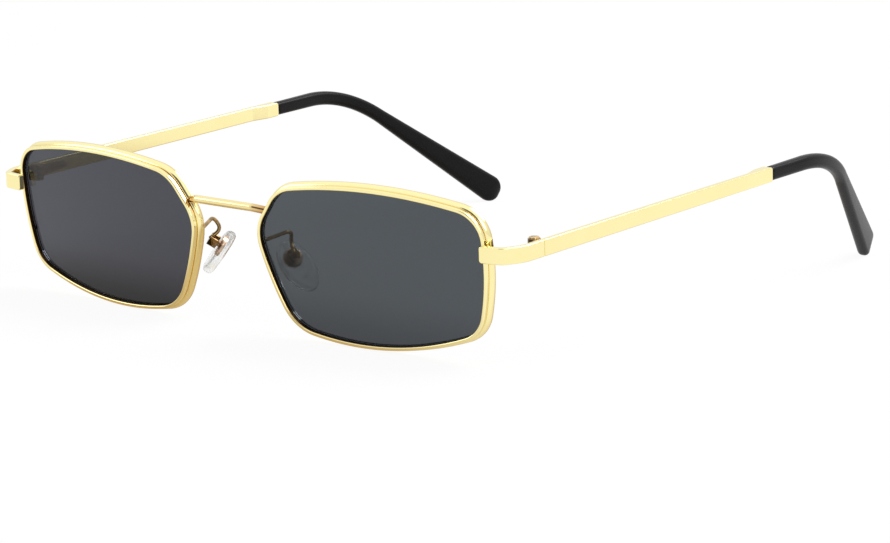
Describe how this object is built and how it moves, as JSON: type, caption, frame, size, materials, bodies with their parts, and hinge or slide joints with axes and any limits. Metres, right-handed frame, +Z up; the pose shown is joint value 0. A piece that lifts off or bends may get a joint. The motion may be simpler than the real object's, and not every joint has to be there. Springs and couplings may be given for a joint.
{
  "type": "sunglasses",
  "caption": "Narrow rectangular metal sunglasses with tinted lenses, silicone nose pads, and folding flat temples with curved black ear tips.",
  "frame": {"origin": "middle of the lower face of the bounding box, on the surface that the open glasses stand on", "axes": "+X to the wearer's left, +Y from the lenses back to the ear tips, +Z up; the glasses stand open on their rims and ear tips"},
  "size_m": [0.1402, 0.1584, 0.0344],
  "materials": {
    "gold_metal": "polished pale gold plating",
    "grey_lens": "smooth neutral grey tint, slightly paler towards the lower edge",
    "black_tip": "satin moulded",
    "clear_silicone": "clear, soft, slightly milky",
    "insert_metal": "satin rose gold, seen through the pad",
    "screw_metal": "turned, slotted"
  },
  "bodies": {
    "front": {"bridge": "gold_metal", "rim_left": "gold_metal", "lens_left": "grey_lens", "end_piece_left": "gold_metal", "rim_lock_upper_left": "gold_metal", "rim_lock_lower_left": "gold_metal", "rim_screw_left": "screw_metal", "front_hinge_left": "gold_metal", "hinge_screw_left": "screw_metal", "pad_arm_left": "gold_metal", "pad_box_left": "gold_metal", "pad_screw_left": "screw_metal", "rim_right": "gold_metal", "lens_right": "grey_lens", "end_piece_right": "gold_metal", "rim_lock_upper_right": "gold_metal", "rim_lock_lower_right": "gold_metal", "rim_screw_right": "screw_metal", "front_hinge_right": "gold_metal", "hinge_screw_right": "screw_metal", "pad_arm_right": "gold_metal", "pad_box_right": "gold_metal", "pad_screw_right": "screw_metal"},
    "temple_left": {"temple_bar_left": "gold_metal", "temple_tip_left": "black_tip", "temple_hinge_left": "gold_metal"},
    "pad_left": {"nose_pad_left": "clear_silicone", "pad_insert_left": "insert_metal"},
    "temple_right": {"temple_bar_right": "gold_metal", "temple_tip_right": "black_tip", "temple_hinge_right": "gold_metal"},
    "pad_right": {"nose_pad_right": "clear_silicone", "pad_insert_right": "insert_metal"}
  },
  "joints": [
    {"name": "temple_fold_left", "type": "hinge", "parent": "front", "child": "temple_left", "pos_m": [0.06735, -0.06263, 0.02208], "axis": [0, -0.0558, 0.9984], "range_deg": [0, 88]},
    {"name": "temple_fold_right", "type": "hinge", "parent": "front", "child": "temple_right", "pos_m": [-0.06735, -0.06263, 0.02208], "axis": [0, 0.0558, -0.9984], "range_deg": [0, 82]},
    {"name": "pad_rock_left", "type": "hinge", "parent": "front", "child": "pad_left", "pos_m": [0.01116, -0.06889, 0.01621], "axis": [-0.3822, -0.815, -0.4356], "range_deg": [-8, 8]},
    {"name": "pad_rock_right", "type": "hinge", "parent": "front", "child": "pad_right", "pos_m": [-0.01116, -0.06889, 0.01621], "axis": [0.3822, -0.815, -0.4356], "range_deg": [-8, 8]}
  ]
}
